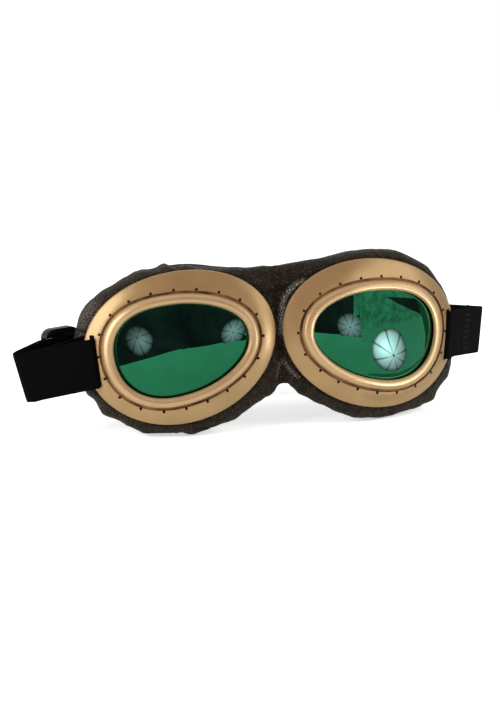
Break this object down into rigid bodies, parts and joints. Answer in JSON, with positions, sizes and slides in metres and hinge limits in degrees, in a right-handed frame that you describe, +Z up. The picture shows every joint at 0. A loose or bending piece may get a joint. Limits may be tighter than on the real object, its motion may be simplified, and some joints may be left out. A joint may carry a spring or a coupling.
{
  "type": "costume goggles",
  "caption": "Costume flying goggles with two oval tinted lenses in bronze-coloured frames on padded leatherette eye cups, a soft nose bridge and an adjustable elastic head strap.",
  "frame": {"origin": "midway between the centres of the two lens openings, on their front plane", "axes": "+X from the left lens to the right one as seen from in front, +Y back towards the wearer's face, +Z up"},
  "size_m": [0.2547, 0.0714, 0.0892],
  "materials": {
    "frame_plastic": "satin bronze-gold metallic paint on moulded plastic",
    "rim_plastic": "satin pale gold metallic paint on moulded plastic",
    "gasket_rubber": "matt black",
    "lens_tint": "glossy emerald tint with a slight mirror",
    "clamp_plastic": "black moulded plastic",
    "screw_steel": "plain steel",
    "leatherette": "dark brown grained leatherette, semi-gloss",
    "pad_foam": "dark grey fabric-faced foam",
    "elastic": "black woven elastic",
    "thread": "black sewing thread",
    "slider_plastic": "gloss black moulded plastic"
  },
  "bodies": {
    "left_half": {"frame_left": "frame_plastic", "lens_rim_left": "rim_plastic", "lens_gasket_left": "gasket_rubber", "lens_left": "lens_tint", "clamp_ring_left": "clamp_plastic", "clamp_screws_left": "screw_steel", "mask_left": "leatherette", "face_pad_left": "pad_foam", "nose_bridge": "leatherette", "strap": "elastic", "adjuster_tail": "elastic", "strap_stitches": "thread"},
    "right_half": {"frame_right": "frame_plastic", "lens_rim_right": "rim_plastic", "lens_gasket_right": "gasket_rubber", "lens_right": "lens_tint", "clamp_ring_right": "clamp_plastic", "clamp_screws_right": "screw_steel", "mask_right": "leatherette", "face_pad_right": "pad_foam"},
    "slider": {"slider": "slider_plastic"}
  },
  "joints": [
    {"name": "bridge_flex", "type": "hinge", "parent": "left_half", "child": "right_half", "pos_m": [0, 0.01, 0], "axis": [0, 0, 1], "range_deg": [-12, 45], "stiffness_Nm_per_rad": 0.05, "deforming": ["nose_bridge", "strap", "strap_stitches"]},
    {"name": "slider_slide", "type": "slide", "parent": "left_half", "child": "slider", "axis": [0.8829, 0.4695, 0], "range_m": [0, 0.032], "deforming": ["adjuster_tail"]}
  ]
}
